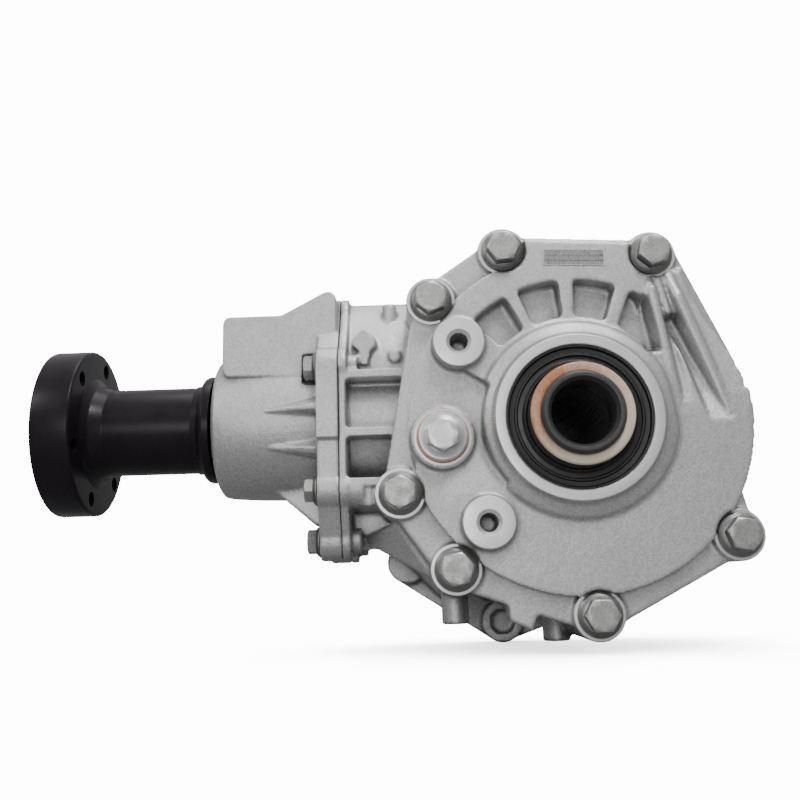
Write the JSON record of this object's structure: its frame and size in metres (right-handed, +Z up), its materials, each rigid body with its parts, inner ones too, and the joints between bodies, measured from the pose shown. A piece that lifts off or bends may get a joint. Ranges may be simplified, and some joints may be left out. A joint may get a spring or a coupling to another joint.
{
  "type": "transfer case",
  "caption": "Right-angle transfer case: round gear cover with a through shaft bore and seal, bolted to a ribbed case, with a side pinion housing and a long black output flange.",
  "frame": {"origin": "on the hollow shaft's axis, in the plane of the face that bolts to the transaxle", "axes": "+Z up as fitted in the picture, +Y along the hollow shaft towards the transaxle, +X away from the output flange"},
  "size_m": [0.396, 0.1746, 0.23],
  "materials": {
    "cast_alloy": "sand cast, fine blasted grain, satin",
    "machined_bolt": "zinc plated, dull",
    "black_coat": "gloss black dip coat",
    "seal_rubber": "satin rubber",
    "copper": "soft copper",
    "bearing_steel": "ground",
    "gear_steel": "hardened, oiled",
    "shaft_end": "tan, with brown patches",
    "cage_steel": "pressed sheet",
    "dark_sleeve": "dark grey, satin"
  },
  "bodies": {
    "case": {"cover_bolts": "machined_bolt", "depth_shim": "bearing_steel", "dowel_pins": "bearing_steel", "end_cover": "cast_alloy", "filler_plug": "machined_bolt", "front_bearing_cup": "bearing_steel", "front_seal": "seal_rubber", "front_seal_spring": "bearing_steel", "head_bearing_cup": "bearing_steel", "housing_bolts": "machined_bolt", "housing_o_ring": "seal_rubber", "main_case": "cast_alloy", "pinion_housing": "cast_alloy", "pinion_seal": "seal_rubber", "plug_washer": "copper", "preload_shim": "bearing_steel", "rear_bearing_cup": "bearing_steel", "rear_seal": "seal_rubber", "tail_bearing_cup": "bearing_steel", "transaxle_o_ring": "seal_rubber"},
    "input_shaft": {"hollow_shaft": "gear_steel", "shaft_end_ring": "shaft_end", "inner_shaft_seal": "dark_sleeve", "ring_gear": "gear_steel", "ring_gear_bolts": "machined_bolt", "front_bearing_cone": "bearing_steel", "rear_bearing_cone": "bearing_steel"},
    "pinion": {"pinion_shaft": "gear_steel", "collapsible_spacer": "cage_steel", "companion_flange": "black_coat", "pinion_nut": "machined_bolt", "dust_deflector": "black_coat", "head_bearing_cone": "bearing_steel", "tail_bearing_cone": "bearing_steel"},
    "front_bearing_set": {"front_bearing_rollers": "bearing_steel", "front_bearing_cage": "cage_steel"},
    "rear_bearing_set": {"rear_bearing_rollers": "bearing_steel", "rear_bearing_cage": "cage_steel"},
    "head_bearing_set": {"head_bearing_rollers": "bearing_steel", "head_bearing_cage": "cage_steel"},
    "tail_bearing_set": {"tail_bearing_rollers": "bearing_steel", "tail_bearing_cage": "cage_steel"}
  },
  "joints": [
    {"name": "input_spin", "type": "hinge", "parent": "case", "child": "input_shaft", "pos_m": [0, 0, 0], "axis": [0, 1, 0], "continuous": true},
    {"name": "pinion_spin", "type": "hinge", "parent": "case", "child": "pinion", "pos_m": [-0.15, -0.053, 0.01106], "axis": [1, 0, 0], "continuous": true},
    {"name": "front_bearing_spin", "type": "hinge", "parent": "case", "child": "front_bearing_set", "pos_m": [0, -0.106, 0], "axis": [0, 1, 0], "continuous": true},
    {"name": "rear_bearing_spin", "type": "hinge", "parent": "case", "child": "rear_bearing_set", "pos_m": [0, -0.02, 0], "axis": [0, 1, 0], "continuous": true},
    {"name": "head_bearing_spin", "type": "hinge", "parent": "case", "child": "head_bearing_set", "pos_m": [-0.084, -0.053, 0.01106], "axis": [1, 0, 0], "continuous": true},
    {"name": "tail_bearing_spin", "type": "hinge", "parent": "case", "child": "tail_bearing_set", "pos_m": [-0.175, -0.053, 0.01106], "axis": [1, 0, 0], "continuous": true}
  ],
  "couplings": [
    {"joint": "pinion_spin", "follows": "input_spin", "ratio": -2.5833},
    {"joint": "front_bearing_spin", "follows": "input_spin", "ratio": 0.43526},
    {"joint": "rear_bearing_spin", "follows": "input_spin", "ratio": 0.43526},
    {"joint": "head_bearing_spin", "follows": "input_spin", "ratio": -1.0311},
    {"joint": "tail_bearing_spin", "follows": "input_spin", "ratio": -1.029}
  ]
}
